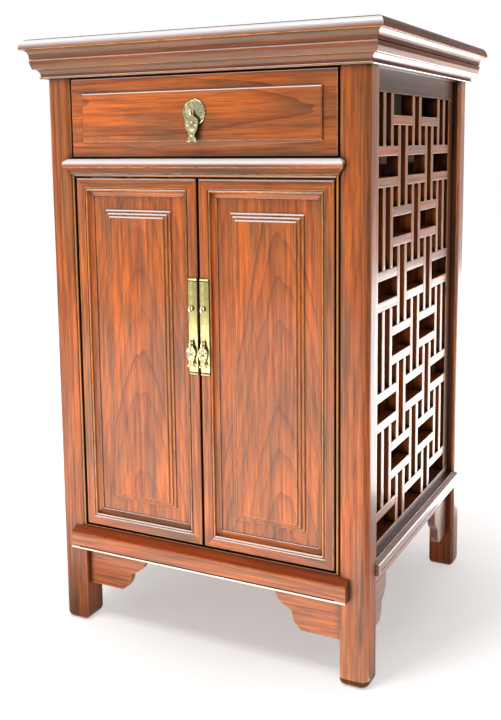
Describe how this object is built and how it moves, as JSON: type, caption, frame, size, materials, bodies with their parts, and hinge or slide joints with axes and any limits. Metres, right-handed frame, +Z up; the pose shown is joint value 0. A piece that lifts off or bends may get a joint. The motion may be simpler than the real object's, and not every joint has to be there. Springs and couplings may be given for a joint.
{
  "type": "lattice chest",
  "caption": "Small East Asian hardwood cabinet with a drawer above panelled doors, woven lattice sides, moulded top, cusped spandrels and brass pendant pulls.",
  "frame": {"origin": "on the floor, under the middle of the carcass", "axes": "+Z up, +X to the right as seen from the front, the front faces -Y"},
  "size_m": [0.494, 0.468, 0.79],
  "materials": {
    "stained_wood": "reddish brown stain under semi-gloss lacquer",
    "drawer_wood": "unstained, planed",
    "brass": "polished, a little tarnished"
  },
  "bodies": {
    "carcass": {"back_panel_lower": "stained_wood", "back_panel_upper": "stained_wood", "back_rail": "stained_wood", "base_rail_front": "stained_wood", "base_rail_left": "stained_wood", "base_rail_rear": "stained_wood", "base_rail_right": "stained_wood", "cornice_front": "stained_wood", "cornice_left": "stained_wood", "cornice_rear": "stained_wood", "cornice_right": "stained_wood", "cupboard_floor": "stained_wood", "door_bead_left": "stained_wood", "door_bead_right": "stained_wood", "door_bead_top": "stained_wood", "drawer_runner_left": "drawer_wood", "drawer_runner_right": "drawer_wood", "frieze_left": "stained_wood", "frieze_right": "stained_wood", "lattice_left": "stained_wood", "lattice_right": "stained_wood", "post_front_left": "stained_wood", "post_front_right": "stained_wood", "post_rear_left": "stained_wood", "post_rear_right": "stained_wood", "spandrel_front_left": "stained_wood", "spandrel_front_right": "stained_wood", "spandrel_left_front": "stained_wood", "spandrel_left_rear": "stained_wood", "spandrel_right_front": "stained_wood", "spandrel_right_rear": "stained_wood", "top_frame_front": "stained_wood", "top_frame_left": "stained_wood", "top_frame_rear": "stained_wood", "top_frame_right": "stained_wood", "top_panel": "stained_wood", "top_rail_front": "stained_wood", "top_rail_rear": "stained_wood", "waist_rail": "stained_wood"},
    "drawer": {"drawer_front": "stained_wood", "drawer_side_left": "drawer_wood", "drawer_side_right": "drawer_wood", "drawer_back": "drawer_wood", "drawer_bottom": "drawer_wood", "drawer_pull_plate": "brass"},
    "left_door": {"door_left_stile_pivot": "stained_wood", "door_left_stile_meeting": "stained_wood", "door_left_rail_top": "stained_wood", "door_left_rail_bottom": "stained_wood", "door_left_panel": "stained_wood", "door_left_plate": "brass"},
    "right_door": {"door_right_stile_pivot": "stained_wood", "door_right_stile_meeting": "stained_wood", "door_right_rail_top": "stained_wood", "door_right_rail_bottom": "stained_wood", "door_right_panel": "stained_wood", "door_right_plate": "brass"},
    "drawer_pendant": {"drawer_pendant": "brass"},
    "left_door_pendant": {"door_left_pendant": "brass"},
    "right_door_pendant": {"door_right_pendant": "brass"}
  },
  "joints": [
    {"name": "drawer_slide", "type": "slide", "parent": "carcass", "child": "drawer", "axis": [0, -1, 0], "range_m": [0, 0.22]},
    {"name": "left_door_hinge", "type": "hinge", "parent": "carcass", "child": "left_door", "pos_m": [-0.1688, -0.2005, 0.375], "axis": [0, 0, -1], "range_deg": [0, 105]},
    {"name": "right_door_hinge", "type": "hinge", "parent": "carcass", "child": "right_door", "pos_m": [0.1688, -0.2005, 0.375], "axis": [0, 0, 1], "range_deg": [0, 105]},
    {"name": "drawer_pendant_swing", "type": "hinge", "parent": "drawer", "child": "drawer_pendant", "pos_m": [0, -0.2181, 0.6925], "axis": [-1, 0, 0], "range_deg": [-5, 85]},
    {"name": "left_pendant_swing", "type": "hinge", "parent": "left_door", "child": "left_door_pendant", "pos_m": [-0.00835, -0.2156, 0.40875], "axis": [-1, 0, 0], "range_deg": [-5, 85]},
    {"name": "right_pendant_swing", "type": "hinge", "parent": "right_door", "child": "right_door_pendant", "pos_m": [0.00835, -0.2156, 0.40875], "axis": [-1, 0, 0], "range_deg": [-5, 85]}
  ]
}
